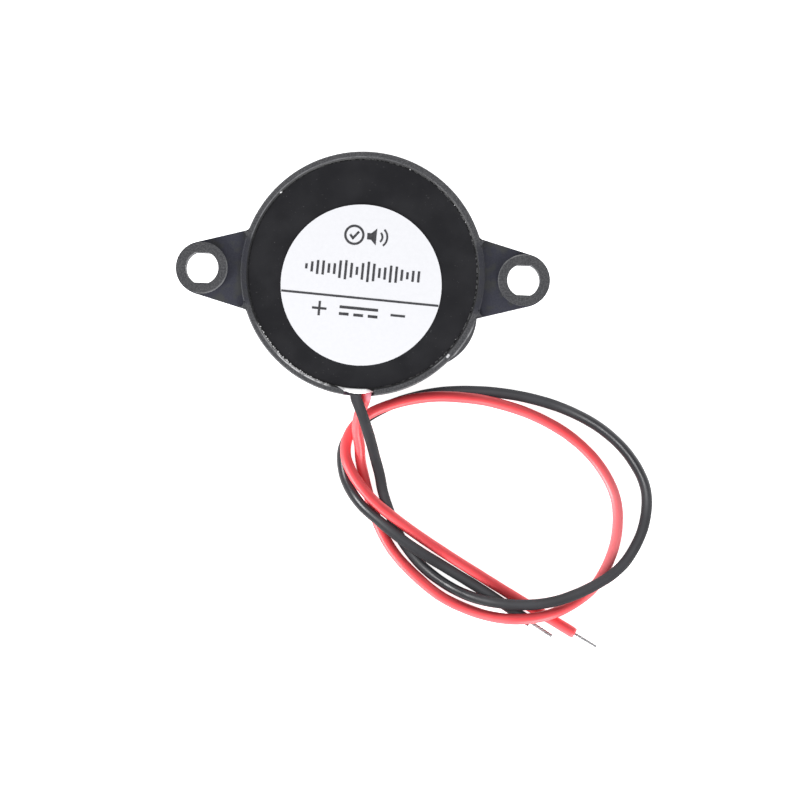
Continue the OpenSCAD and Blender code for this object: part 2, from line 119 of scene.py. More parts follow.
BLACK_WAY = [
    (0.05, -1, 8.4), (0.6, -2.3, 8.2), (1.15, -3.8, 7), (1.75, -5.6, 5.1), (2.35, -7.7, 3),
    (3, -9.9, 1.4), (3.5, -12.1, 0.7), (4.5, -14.8, 0.7), (6, -17.9, 0.7), (8.7, -21.2, 0.7),
    (12, -23.6, 0.7), (15, -24.9, 1.5), (17.8, -25.5, 2.2), (21.5, -25.75, 2.3), (25, -25.3, 2.75),
    (28, -24.3, 3), (31, -22.8, 2.7), (33.3, -21.3, 1.9), (35.2, -19.3, 0.9), (37, -15.2, 0.7),
    (37.1, -10.5, 0.7), (34.9, -6.4, 0.7), (31.3, -3.1, 0.7), (26.8, -0.8, 0.7), (21.8, 0.6, 0.7),
    (16.4, 1.2, 0.7), (11, 1, 0.7), (6.2, -0.1, 0.7), (2.4, -1.8, 0.7), (-0.35, -4, 0.7),
    (-1.8, -6.8, 0.7), (-1.5, -10.2, 1.1), (0.42, -13.4, 2.1), (3.6, -16.1, 2.2), (6.6, -18.3, 2.2),
    (9, -19.8, 1.7), (11.6, -21.3, 0.8), (16.4, -24, 0.7), (23, -28, 0.7)]


def route(lead_exit, way):
    """A lead's points in the model's frame, from inside the sealant to the far end."""
    x, z = lead_exit
    points = [(x, INSIDE_Y, z), (x, OUTSIDE_Y, z), *way]
    return [Vector((px, py - body_r, pz)) for px, py, pz in points]


def smooth_path(points):
    """Points about one step apart on a Catmull-Rom curve, none lower than the lead's radius."""
    ends = [2 * points[0] - points[1], *points, 2 * points[-1] - points[-2]]
    path = []
    for before, start, end, after in zip(ends, ends[1:], ends[2:], ends[3:]):
        a, b, c = (max((q - p).length ** 0.5, 1e-6) for p, q in ((before, start), (start, end), (end, after)))
        leave = (start - before) / a - (end - before) / (a + b) + (end - start) / b
        arrive = (end - start) / b - (after - start) / (b + c) + (after - end) / c
        count = max(2, math.ceil((end - start).length / ROUTE_STEP))
        for i in range(count):
            t = i / count
            place = ((2 * t ** 3 - 3 * t ** 2 + 1) * start + (t ** 3 - 2 * t ** 2 + t) * b * leave
                     + (3 * t ** 2 - 2 * t ** 3) * end + (t ** 3 - t ** 2) * b * arrive)
            path.append(Vector((place.x, place.y, max(place.z, LEAD_R))))
    path.append(points[-1].copy())
    return path


def path_length(path):
    return sum((b - a).length for a, b in zip(path, path[1:]))


red_path = smooth_path(route(RED_EXIT, RED_WAY))
black_path = smooth_path(route(BLACK_EXIT, BLACK_WAY))
print(f"red lead {path_length(red_path):.1f} mm, black lead {path_length(black_path):.1f} mm")

# %% [markdown]
# Materials and repeating pieces are both made from node trees. Short helpers start a Geometry Nodes tree with
# named inputs, add a node with its settings and links, and run a tree and keep its result as a plain mesh,
# because an export needs plain meshes.

# %% Small helpers for node trees
def new_tree(name, inputs):
    """A Geometry Nodes tree, its named number inputs, given as (name, value), and its output node."""
    tree = bpy.data.node_groups.new(name, "GeometryNodeTree")
    for label, value in inputs:
        kind = "NodeSocketInt" if isinstance(value, int) else "NodeSocketFloat"
        socket = tree.interface.new_socket(label, in_out="INPUT", socket_type=kind)
        socket.default_value = value
    tree.interface.new_socket("Geometry", in_out="OUTPUT", socket_type="NodeSocketGeometry")
    return tree, tree.nodes.new("NodeGroupInput").outputs, tree.nodes.new("NodeGroupOutput")


def set_inputs(tree, node, values):
    """Links or sets a node's inputs by name or number. A node as a value stands for its first output."""
    for key, value in dict(values).items():
        if isinstance(value, bpy.types.Node):
            value = value.outputs[0]
        if isinstance(value, bpy.types.NodeSocket):
            tree.links.new(value, node.inputs[key])
        else:
            node.inputs[key].default_value = value


def add(tree, kind, inputs=(), **settings):
    node = tree.nodes.new(kind)
    for key, value in settings.items():
        setattr(node, key, value)
    set_inputs(tree, node, inputs)
    return node


def vector(tree, **parts):
    return add(tree, "ShaderNodeCombineXYZ", parts)


def axes(tree, place):
    return add(tree, "ShaderNodeSeparateXYZ", {0: place}).outputs


def maths(tree, operation, a, b=0.0):
    return add(tree, "ShaderNodeMath", {0: a, 1: b}, operation=operation).outputs[0]


def finish_tree(tree, output, geometry, material):
    """Ends a tree in real faces with their material, and returns it."""
    real = add(tree, "GeometryNodeRealizeInstances", {"Geometry": geometry})
    painted = add(tree, "GeometryNodeSetMaterial", {"Geometry": real, "Material": material})
    set_inputs(tree, output, {0: painted})
    return tree


def grown_mesh(name, tree, values=()):
    """Runs a tree with these input values and returns its result as a plain mesh object."""
    holder = new_object(name + "_maker", bpy.data.meshes.new(name + "_maker"))
    modifier = holder.modifiers.new("grow", "NODES")
    modifier.node_group = tree
    for item in tree.interface.items_tree:
        if item.in_out == "INPUT" and item.name in dict(values):
            modifier[item.identifier] = dict(values)[item.name]
    evaluated = holder.evaluated_get(bpy.context.evaluated_depsgraph_get())
    data = bpy.data.meshes.new_from_object(evaluated)
    holder.modifiers.clear()
    bpy.data.objects.remove(holder)
    data.name = name
    return new_object(name, data)


# %% [markdown]
# No surface of the buzzer is one flat colour, so every finish starts from the same steps: the point on the
# piece in millimetres, a noise whose spots have a known size there, and a range that turns the noise into
# colours, roughness and bumps. The point comes from Object coordinates, so the grain sticks to the piece.

# %% Steps that every finish uses
def piece_point(tree):
    """The point on the piece, in millimetres."""
    place = add(tree, "ShaderNodeTexCoord").outputs["Object"]
    return add(tree, "ShaderNodeVectorMath", {0: place, "Scale": 1 / MM}, operation="SCALE")


def new_finish(name):
    """A new material, its node tree, and the point on the piece that wears it."""
    material = bpy.data.materials.new(name)
    material.use_nodes = True
    return material, material.node_tree, piece_point(material.node_tree)


def grain(tree, point, size, detail=2.0):
    """Noise around 0.5 whose spots are about size millimetres across."""
    return add(tree, "ShaderNodeTexNoise", {"Vector": point, "Scale": 1 / size, "Detail": detail}).outputs[0]


def span(tree, value, low, high, to_low=0.0, to_high=1.0):
    """A value between low and high turned into another range, and held at its ends."""
    return add(tree, "ShaderNodeMapRange", {
        "Value": value, "From Min": low, "From Max": high, "To Min": to_low, "To Max": to_high}).outputs[0]


def mixed(tree, share, first, second):
    """A colour on the way from first to second, which are inputs 6 and 7 of the Mix node."""
    ends = [value if isinstance(value, bpy.types.NodeSocket) else (*value, 1) for value in (first, second)]
    return add(tree, "ShaderNodeMix", {0: share, 6: ends[0], 7: ends[1]}, data_type="RGBA").outputs[2]


def bumps(tree, height, depth):
    """A normal for bumps that are depth millimetres high where height is 1."""
    return add(tree, "ShaderNodeBump", {"Height": height, "Distance": depth * MM}).outputs[0]


def set_shader(material, values):
    """Sets inputs of the material's main shader."""
    set_inputs(material.node_tree, material.node_tree.nodes["Principled BSDF"], values)
    return material


def grained_finish(name, dark, light, size, roughness, depth=0.01, metallic=0.0, specular=0.5,
                   stretch=(1, 1, 1)):
    """A finish that drifts between two colours and two roughnesses, in spots of this size."""
    material, tree, point = new_finish(name)
    drawn = add(tree, "ShaderNodeVectorMath", {0: point, 1: stretch}, operation="MULTIPLY")
    spots = grain(tree, drawn, size, 3)
    return set_shader(material, {
        "Base Color": mixed(tree, span(tree, spots, 0.35, 0.65), dark, light),
        "Roughness": span(tree, spots, 0.3, 0.7, *roughness),
        "Metallic": metallic, "Specular IOR Level": specular,
        "Normal": bumps(tree, spots, depth)})


# %% [markdown]
# Many marks on the buzzer, such as the bevel inside the rim, sit at a distance from its axis and an angle
# round it. A few more steps turn a point into those two numbers, and these into soft-edged bands and spots,
# so a finish can be drawn without a picture.

# %% Bands, spots and angles for the marks
def chain(tree, operation, values):
    """One number from several, taken one after another."""
    result = values[0]
    for value in values[1:]:
        result = maths(tree, operation, result, value)
    return result


def minus(tree, first, second):
    return maths(tree, "SUBTRACT", first, second)


def times(tree, *values):
    return chain(tree, "MULTIPLY", values)


def greatest(tree, *values):
    return chain(tree, "MAXIMUM", values)


def band(tree, value, low, high, soft):
    """1 between low and high, and 0 beyond, with soft edges."""
    rise = span(tree, value, low - soft, low + soft)
    return times(tree, rise, span(tree, value, high - soft, high + soft, 1.0, 0.0))


def radius_of(tree, x, y):
    return maths(tree, "SQRT", maths(tree, "ADD", times(tree, x, x), times(tree, y, y)))


def polar(tree, x, y):
    """The distance from the origin and the angle in degrees."""
    return radius_of(tree, x, y), maths(tree, "DEGREES", maths(tree, "ARCTAN2", y, x))


def spot(tree, x, y, place, size):
    """1 at a place on the buzzer, fading to 0 at size millimetres from it."""
    off = [minus(tree, value, at) for value, at in zip((x, y), place)]
    return span(tree, radius_of(tree, *off), size / 2, size, 1.0, 0.0)


def round_the_middle(tree, point):
    """A point's x, y and z, its distance from the buzzer's axis and its angle in degrees."""
    x, y, z = axes(tree, point)
    return x, y, z, *polar(tree, x, y)


def facing(tree, angle, middle):
    """The cosine of the angle from a direction: 1 there and -1 on the far side."""
    return maths(tree, "COSINE", maths(tree, "RADIANS", minus(tree, angle, middle)))


# %% [markdown]
# The housing is moulded plastic. Its sunk and upright faces are smooth and dark, with a trace of blue. Its rim
# and rings have a coarser grain whose pale points catch the light. The bevel inside the rim and the rim's top
# past the ears carry painted shade, a thin painted highlight line lies above the bevel and on one side of each
# ring's edge, glue has crept along one side, and the cut-off gate has left a pale streak.

# %% The housing's finish
GRAIN_SIZE = 0.2
SCUFF_SIZE = 1.6
HOLE_AT = 20
RING_R = 3.2
BEVEL_R = body_r - 0.82
EDGE_R = body_r - 0.64
EAR_EDGE = (3.6, 4.6)
# directions from the axis, in degrees
RING_LIT_FROM = 138
EDGE_LIT_FROM = 128
GLINT = (-51, -44)
CREEP = (-136, -105)
THIN_CREEP = (-152, -136)
STREAK = (-40, -23)
TAIL = (-100.7, -97.3)
TAIL_COVERED = -95
# the tail's radii there, and the nicks' places
TAIL_INNER = (14.2, 14.33)
TAIL_OUTER = (14.32, 14.66)
NICKS = ((10.9, -9.88), (11.03, -9.7))
NICK_SIZE = 0.2


def housing_finish():
    material, tree, point = new_finish("moulded_housing")
    x, y, z, r, angle = round_the_middle(tree, point)
    fine = grain(tree, point, GRAIN_SIZE, 3)
    broad = grain(tree, point, SCUFF_SIZE, 4)
    on_top = span(tree, z, rim_top - 0.3, rim_top - 0.2)

    smooth = mixed(tree, span(tree, fine, 0.3, 0.7), (0.0245, 0.0255, 0.038), (0.035, 0.0362, 0.052))
    smooth = mixed(tree, span(tree, broad, 0.48, 0.62, 0, 0.8), smooth, (0.04, 0.0415, 0.041))
    coarse = mixed(tree, span(tree, fine, 0.4, 0.68), (0.036, 0.0365, 0.04), (0.082, 0.083, 0.088))
    coarse = mixed(tree, span(tree, broad, 0.5, 0.75, 0.0, 0.4), coarse, (0.075, 0.075, 0.078))
    off_axis = maths(tree, "ABSOLUTE", y)
    beyond_rim = span(tree, r, body_r + 0.2, body_r + 0.3, 1.0, 0.0)
    at_ear = times(tree, span(tree, off_axis, *EAR_EDGE, 1.0, 0.0), beyond_rim)
    rim_at_ear = times(tree, on_top, at_ear)
    base = mixed(tree, times(tree, on_top, span(tree, at_ear, 0, 1, 1, 0.15)), smooth, coarse)
    # painted shade: the rim's top is darkened where it runs past the ears
    base = mixed(tree, times(tree, rim_at_ear, 0.6), base, (0.014, 0.0145, 0.02))

    # painted highlight: the edge of each ring catches the light on one side, the other way round on the other
    # ear
    side = maths(tree, "SIGN", x)
    from_hole, ring_angle = polar(tree, minus(tree, times(tree, side, x), HOLE_AT), times(tree, side, y))
    ring_highlight = times(tree, band(tree, from_hole, RING_R - 0.13, RING_R + 0.05, 0.05), on_top,
                      span(tree, facing(tree, ring_angle, RING_LIT_FROM), 0.3, 0.9),
                      span(tree, broad, 0.36, 0.56, 0.4, 1))
    base = mixed(tree, ring_highlight, base, (0.17, 0.17, 0.175))

    # painted shade on the bevel, a painted highlight line above it, and the glue that has crept along it
    patchy = span(tree, broad, 0.36, 0.56, 0.25, 1)
    bevel = times(tree, band(tree, r, BEVEL_R - 0.1, BEVEL_R + 0.08, 0.03), on_top, 0.9)
    # the side of the rim that faces the light, for the painted highlight line
    polish_and_highlight = times(tree, span(tree, facing(tree, angle, EDGE_LIT_FROM), 0.5, 0.9, 0.06, 0.8),
                     span(tree, at_ear, 0, 1, 1, 0.1))
    line = times(tree, band(tree, r, EDGE_R - 0.04, EDGE_R + 0.05, 0.03), on_top, patchy,
                 greatest(tree, polish_and_highlight, band(tree, angle, *GLINT, 1)))
    thin_creep = times(tree, band(tree, angle, *THIN_CREEP, 2), 0.3)
    creep = greatest(tree, band(tree, angle, *CREEP, 1.5), thin_creep)
    glue = times(tree, band(tree, r, BEVEL_R - 0.04, BEVEL_R + 0.2, 0.05), on_top, creep,
                 span(tree, grain(tree, point, 0.5, 3), 0.34, 0.5, 0.2, 1))

    # the gate's streak, the nick at its end, and the tail of the white sealant beside the notch
    streak = times(tree, band(tree, angle, *STREAK, 1.5), band(tree, r, body_r - 0.06, body_r + 0.08, 0.05),
                   on_top, patchy)
    nick = greatest(tree, *[spot(tree, x, y, place, NICK_SIZE) for place in NICKS])
    tail_way = span(tree, angle, *TAIL)
    tail_in = minus(tree, r, span(tree, tail_way, 0, 1, *TAIL_INNER))
    tail_out = minus(tree, span(tree, tail_way, 0, 1, *TAIL_OUTER), r)
    tail = times(tree, span(tree, tail_in, 0, 0.05), span(tree, tail_out, 0, 0.05), on_top,
                 band(tree, angle, TAIL[0], TAIL_COVERED, 0.3))
    # bevel is painted shade and line a painted highlight; glue, streak, nick and tail are the marks' own
    # colours
    for share, colour in (
            (bevel, (0.005, 0.005, 0.006)), (line, (0.22, 0.22, 0.23)), (glue, (0.6, 0.6, 0.61)),
            (streak, (0.32, 0.32, 0.33)), (nick, (0.6, 0.6, 0.62)), (tail, (0.68, 0.68, 0.7))):
        base = mixed(tree, share, base, colour)

    marked = greatest(tree, glue, tail, streak, line)
    rough = minus(tree, span(tree, broad, 0.3, 0.7, 0.5, 0.62), times(tree, marked, 0.15))
    return set_shader(material, {
        "Base Color": base, "Roughness": rough, "Specular IOR Level": 0.4,
        "Normal": bumps(tree, times(tree, fine, span(tree, on_top, 0, 1, 0.35, 1)), 0.035)})


moulded = housing_finish()
print(len(moulded.node_tree.nodes), "nodes make the housing's finish")

# %% [markdown]
# The back cover is smoother and darker than the housing. Its sheen drifts a little, and a few specks of dust
# keep it from looking like polished glass.

# %% The back cover's finish
def cover_finish():
    material, tree, point = new_finish("smooth_cover")
    broad = grain(tree, point, 3.5, 3)
    fine = grain(tree, point, 0.3, 2)
    dust = span(tree, grain(tree, point, 0.22, 1), 0.74, 0.8)
    base = mixed(tree, span(tree, broad, 0.4, 0.65), (0.0088, 0.0088, 0.0108), (0.0118, 0.0118, 0.0142))
    base = mixed(tree, times(tree, dust, 0.5), base, (0.12, 0.12, 0.12))
    return set_shader(material, {
        "Base Color": base, "Roughness": span(tree, broad, 0.35, 0.65, 0.34, 0.44),
        "Specular IOR Level": 0.4, "Normal": bumps(tree, fine, 0.002)})


cover_finish()

# %% [markdown]
# The label is smooth coated paper, nearly white, with a trace of fibre. Its ink is dark grey and blotchy.

# %% Paper and ink
grained_finish("label_paper", (0.71, 0.714, 0.74), (0.725, 0.729, 0.755), 0.5, (0.5, 0.6), 0.002,
               specular=0.35)
label_ink = grained_finish("label_ink", (0.03, 0.03, 0.034), (0.05, 0.05, 0.056), 0.25, (0.45, 0.6), 0.002)

# %% [markdown]
# Two adhesives show. A white silicone seals the leads' notch; painted reddish shade darkens it beside the red
# lead, and painted near-black shade covers it inside the groove's edge and past its +X end. A clear glue runs
# round the cover's groove and looks dark there, apart from whitish flecks, most of them on the +X side.

# %% Sealant and glue
GROOVE_R = 14.28
RED_SHADE_R = 14.62
RED_SHADE_X = (0.9, 1.7)
SHADE_FROM_X = 1.85


def sealant_finish():
    material, tree, point = new_finish("white_sealant")
    x, _, _, r, _ = round_the_middle(tree, point)
    lumps = grain(tree, point, 0.6, 3)
    white = mixed(tree, span(tree, lumps, 0.35, 0.65), (0.72, 0.72, 0.73), (0.84, 0.84, 0.84))
    # painted reddish shade on the sealant towards the red lead
    near_red = span(tree, x, *RED_SHADE_X)
    reddish_shade = mixed(tree, near_red, white, (0.45, 0.3, 0.31))
    # painted near-black shade inside the groove's edge, wider near the red lead, and past the sealant's +X end
    inner_edge = span(tree, times(tree, near_red, near_red), 0, 1, GROOVE_R, RED_SHADE_R)
    dark_reach = greatest(tree, minus(tree, inner_edge, r), minus(tree, x, SHADE_FROM_X))
    return set_shader(material, {
        "Base Color": mixed(tree, span(tree, dark_reach, -0.03, 0.03), reddish_shade, (0.012, 0.012, 0.013)),
        "Roughness": span(tree, lumps, 0.3, 0.7, 0.35, 0.5), "Normal": bumps(tree, lumps, 0.02)})


def groove_finish():
    material, tree, point = new_finish("groove_glue")
    angle = round_the_middle(tree, point)[-1]
    flecks = span(tree, grain(tree, point, 0.4, 2), 0.48, 0.6)
    share = times(tree, flecks, span(tree, facing(tree, angle, 20), -0.2, 0.8, 0.1, 1))
    return set_shader(material, {
        "Base Color": mixed(tree, share, (0.008, 0.008, 0.0095), (0.22, 0.22, 0.225)),
        "Roughness": span(tree, flecks, 0, 1, 0.3, 0.45), "Normal": bumps(tree, flecks, 0.02)})


white_sealant = sealant_finish()
groove_finish()
white_glue = grained_finish("white_glue", (0.35, 0.35, 0.36), (0.65, 0.65, 0.65), 0.3, (0.3, 0.45), 0.02)

# %% [markdown]
# Soft PVC insulation is satin, with faint drag lines from the die. The tube's own UV map runs along and round
# it, so noise that is stretched along the lead gives those lines wherever the lead bends. The same map says
# how far along a point lies, so a stretch can be rubbed shiny or be paler than the rest.

# %% Insulation and tin
DRAG_LINES = 14
HIGHLIGHT_SIZE = 0.8
HIGHLIGHT_PINK = (0.75, 0.32, 0.4)
PALE_STRETCH_RED = (0.71, 0.14, 0.155)
POLISH = 0.46
FADE = 3


def insulation_finish(name, dark, light, roughness, pink_highlight=None, polish_and_highlight=(), pale_stretches=()):
    """A lead's sleeve, with a painted pink highlight at a place, and shiny and paler stretches in millimetres
    along it.
    """
    material, tree, point = new_finish(name)
    run = add(tree, "ShaderNodeUVMap", uv_map="along_and_round")
    lines = add(tree, "ShaderNodeVectorMath", {0: run, 1: (0.15, DRAG_LINES, 1)}, operation="MULTIPLY")
    drag = grain(tree, lines, 1, 2)
    rough = span(tree, drag, 0.3, 0.7, *roughness)
    along = times(tree, axes(tree, run)[0], LEAD_D)
    for start, end in polish_and_highlight:
        rough = minus(tree, rough, times(tree, band(tree, along, start, end, FADE), POLISH))
    base = mixed(tree, span(tree, grain(tree, point, 4, 2), 0.35, 0.65), dark, light)
    # paler, pinker stretches along the lead
    for start, end in pale_stretches:
        base = mixed(tree, band(tree, along, start, end, FADE), base, PALE_STRETCH_RED)
    # a painted pink highlight where the red lead leaves the notch
    if pink_highlight:
        x, y = axes(tree, point)[:2]
        base = mixed(tree, times(tree, spot(tree, x, y, pink_highlight, HIGHLIGHT_SIZE), 0.8), base, HIGHLIGHT_PINK)
    return set_shader(material, {
        "Base Color": base, "Roughness": rough, "Normal": bumps(tree, drag, 0.006)})


soft_red = insulation_finish("soft_red_insulation", (0.73, 0.056, 0.066), (0.8, 0.072, 0.082), (0.38, 0.48),
                             pink_highlight=(1.5, -15.2), pale_stretches=[(56, 71)])
soft_black = insulation_finish("soft_black_insulation", (0.009, 0.009, 0.0115), (0.014, 0.014, 0.0175),
                               (0.72, 0.8), polish_and_highlight=[(28, 38), (67, 82), (113, 125)])
tin_finish = grained_finish("dull_tin", (0.2, 0.2, 0.205), (0.36, 0.36, 0.37), 0.4, (0.3, 0.45), 0.02,
                            metallic=0.35)

# %% [markdown]
# The inside parts are closed in, and only the brass shows, through the sound hole. They are finished all the
# same, because the part may be opened or cut in half. The brass has streaks along the sheet from rolling.

# %% Finishes of the inner pieces
# two colours, size, roughness, depth, then metallic, specular and stretch where they aren't the usual ones
INNER_FINISHES = {
    "rolled_brass": ((0.5, 0.33, 0.1), (0.66, 0.46, 0.17), 0.5, (0.25, 0.42), 0.004, 1.0, 0.5, (0.12, 1, 1)),
    "cream_ceramic": ((0.5, 0.47, 0.38), (0.62, 0.59, 0.49), 0.3, (0.7, 0.85), 0.006),
    "fired_silver": ((0.55, 0.54, 0.52), (0.74, 0.73, 0.7), 0.25, (0.4, 0.6), 0.008, 0.8),
    "clear_glue": ((0.5, 0.47, 0.4), (0.63, 0.6, 0.52), 1.2, (0.2, 0.35), 0.02),
    "tin_solder": ((0.5, 0.5, 0.52), (0.72, 0.72, 0.74), 0.5, (0.15, 0.35), 0.02, 1.0),
    "soft_blue_insulation": ((0.03, 0.08, 0.36), (0.05, 0.12, 0.46), 0.5, (0.35, 0.5), 0.004),
    "inner_red_insulation": ((0.6, 0.03, 0.035), (0.74, 0.05, 0.05), 0.5, (0.35, 0.5), 0.004),
    "inner_black_insulation": ((0.012, 0.012, 0.013), (0.02, 0.02, 0.022), 0.5, (0.35, 0.5), 0.004),
    "dull_ferrite": ((0.03, 0.03, 0.033), (0.055, 0.055, 0.06), 0.2, (0.65, 0.8), 0.01),
}
for finish_name, row in INNER_FINISHES.items():
    grained_finish(finish_name, *row)
print(len(INNER_FINISHES), "finishes for the inside")

# %% [markdown]
# The board is green solder mask over copper tracks, and its small parts have dark cases with tinned ends.

# %% Finishes of the circuit board and its parts
CHIP_DARK = (0.012, 0.012, 0.014)
CHIP_PALE = (0.025, 0.025, 0.028)


def board_finish():
    """The tracks show as paler, slightly raised bands."""
    material, tree, point = new_finish("green_board")
    cells = add(tree, "ShaderNodeTexVoronoi", {"Vector": point, "Scale": 0.28, "Randomness": 0.6},
                voronoi_dimensions="2D", distance="CHEBYCHEV").outputs[0]
    tracks = band(tree, cells, 0.3, 0.42, 0.02)
    fine = grain(tree, point, 0.4, 2)
    base = mixed(tree, span(tree, fine, 0.3, 0.7), (0.012, 0.1, 0.045), (0.02, 0.14, 0.065))
    return set_shader(material, {
        "Base Color": mixed(tree, tracks, base, (0.05, 0.24, 0.1)),
        "Roughness": span(tree, fine, 0.3, 0.7, 0.28, 0.4), "Normal": bumps(tree, tracks, 0.03)})


def tinned_ends(name, node, axis, dark_reach):
    """A chip's dark middle with tin on the ends that lie more than bare millimetres from its centre."""
    low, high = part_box(node)
    centre = (low[axis] + high[axis]) / 2 / MM
    material = grained_finish(name, CHIP_DARK, CHIP_PALE, 0.25, (0.4, 0.55), 0.006)
    tree = material.node_tree
    off = maths(tree, "ABSOLUTE", minus(tree, axes(tree, piece_point(tree))[axis], centre))
    tin = maths(tree, "GREATER_THAN", off, dark_reach)
    plain = tree.nodes["Principled BSDF"].inputs["Base Color"].links[0].from_socket
    return set_shader(material, {"Base Color": mixed(tree, tin, plain, (0.55, 0.55, 0.57)), "Metallic": tin})


def winding_finish():
    """Enamelled copper, one fine band of bumps for each turn of wire."""
    material, tree, point = new_finish("copper_winding")
    turns = add(tree, "ShaderNodeTexWave", {"Vector": point, "Scale": 2.6, "Distortion": 0.3},
                bands_direction="Z").outputs[1]
    return set_shader(material, {
        "Base Color": mixed(tree, turns, (0.22, 0.06, 0.02), (0.62, 0.26, 0.1)), "Metallic": 0.8,
        "Roughness": span(tree, turns, 0, 1, 0.45, 0.3), "Normal": bumps(tree, turns, 0.03)})


board_finish()
winding_finish()
tinned_ends("transistor_case", "transistor", 1, 0.66)
tinned_ends("base_chip", "base_resistor", 0, 1.1)
tinned_ends("feedback_chip", "feedback_resistor", 1, 1.1)

# %% [markdown]
# A CAD node's mesh is never touched, but its material slots take a finish. One table says which.

# %% Dress the CAD nodes
NODE_FINISHES = {
    "housing": "moulded_housing", "back_cover": "smooth_cover", "cover_glue": "groove_glue",
    "label": "label_paper", "lead_sealant": "white_sealant", "diaphragm": "rolled_brass",
    "ceramic_disc": "cream_ceramic", "drive_electrode": "fired_silver", "feedback_electrode": "fired_silver",
    "diaphragm_glue": "clear_glue", "disc_solder": "tin_solder", "board_solder": "tin_solder",
    "ground_wire": "inner_black_insulation", "drive_wire": "inner_red_insulation",
    "feedback_wire": "soft_blue_insulation", "circuit_board": "green_board", "transistor": "transistor_case",
    "base_resistor": "base_chip", "feedback_resistor": "feedback_chip", "coil_core": "dull_ferrite",
    "coil_winding": "copper_winding", "red_lead": "soft_red_insulation", "black_lead": "soft_black_insulation",
    "red_lead_core": "dull_tin", "black_lead_core": "dull_tin", "red_lead_tip": "dull_tin",
    "black_lead_tip": "dull_tin",
}
for node_name, finish_name in NODE_FINISHES.items():
    for node_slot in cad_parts[node_name].material_slots:
        node_slot.material = bpy.data.materials[finish_name]
print(len(NODE_FINISHES), "of", len(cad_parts), "CAD nodes are dressed")

# %% [markdown]
# Most of the added pieces are skins over rings of points: a tube, a pen stroke, a dome, a thin plate. One
# function joins each ring to the next and closes the ends, and another turns the result into a piece.

# %% Skins over rings of points
def join_rings(mesh, rings, closed=False):
    """Joins each ring of points to the next, with caps on the ends unless the row is closed."""
    faces = []
    for ring, following in zip(rings, rings[1:] + rings[:1] if closed else rings[1:]):
        for k in range(len(ring)):
            n = (k + 1) % len(ring)
            faces.append(mesh.faces.new((ring[k], ring[n], following[n], following[k])))
    if not closed:
        mesh.faces.new(rings[0][::-1])
        mesh.faces.new(rings[-1])
    return faces


def finished_piece(name, mesh, material, place=None):
    """Turns a bmesh into a piece with its normals outwards, laid in place in its own vertices."""
    bmesh.ops.recalc_face_normals(mesh, faces=mesh.faces)
    data = bpy.data.meshes.new(name)
    mesh.to_mesh(data)
    mesh.free()
    data.materials.append(material)
    if place is not None:
        data.transform(place)
    return new_object(name, data)


# %% [markdown]
# A lead is a tube whose cross-section is carried along its path. It must not spin, or the tube would look wrung
# out, so each ring takes over the last ring's direction and only tilts with the path. The insulation is a
# touch uneven, and its cut end has a thin rounded edge.

# %% A tube along a path
CUT_LENGTH = 0.12
CUT_DEPTH = 0.06
SLACK = 0.01


def carried_frames(path):
    """Each point of a path with two directions across it that turn as little as possible."""
    across = Vector((0, 0, 1))
    for before, place, after in zip([path[0], *path], path, [*path[1:], path[-1]]):
        along = (after - before).normalized()
        across = (across - along * across.dot(along)).normalized()
        yield place, across, along.cross(across)


def insulation_radius(run, total):
    """The radius at a run from the start: rounded off at the cut end and a touch uneven along the way."""
    left = (total - run) / CUT_LENGTH
    cut = CUT_DEPTH * (1 - math.sqrt(max(1 - (1 - left) ** 2, 0))) if left < 1 else 0
    ripple = 0.006 * math.sin(run * 0.9) + 0.004 * math.sin(run * 2.3 + 1)
    return LEAD_R - SLACK - cut + ripple


def tube_piece(name, path, material, sides=24):
    """A lead's insulation as a closed tube along its path."""
    mesh = bmesh.new()
    uv = mesh.loops.layers.uv.new("along_and_round")
    turns = [2 * math.pi * k / sides for k in range(sides)]
    runs = [path_length(path[:i + 1]) for i in range(len(path))]
    rings = []
    for run, (place, across, up) in zip(runs, carried_frames(path)):
        radius = insulation_radius(run, runs[-1])
        rings.append([mesh.verts.new((place + radius * (math.cos(a) * across + math.sin(a) * up)) * MM)
                      for a in turns])
    for number, face in enumerate(join_rings(mesh, rings)):
        i, k = divmod(number, sides)
        corners = ((runs[i], k), (runs[i], k + 1), (runs[i + 1], k + 1), (runs[i + 1], k))
        for loop, (u, v) in zip(face.loops, corners):
            loop[uv].uv = (u / LEAD_D, v / sides)
        face.smooth = True
    return finished_piece(name, mesh, material)


red_insulation = tube_piece("red_insulation", red_path, soft_red)
black_insulation = tube_piece("black_insulation", black_path, soft_black)
print(len(red_insulation.data.polygons), "faces on the red lead's insulation")

# %% [markdown]
# The bare end is stranded copper dipped in solder: thin strands, twisted once or so over its length and joined
# by a skin of tin. Geometry Nodes make one strand as a helix and repeat it round the axis. The red lead's end
# is a little thinner than the black one's.

# %% One tinned end, a twist of strands
TINNED_LENGTH = 3.3
TIP_SAG = 0.2
TIP_OVERLAP = 0.1


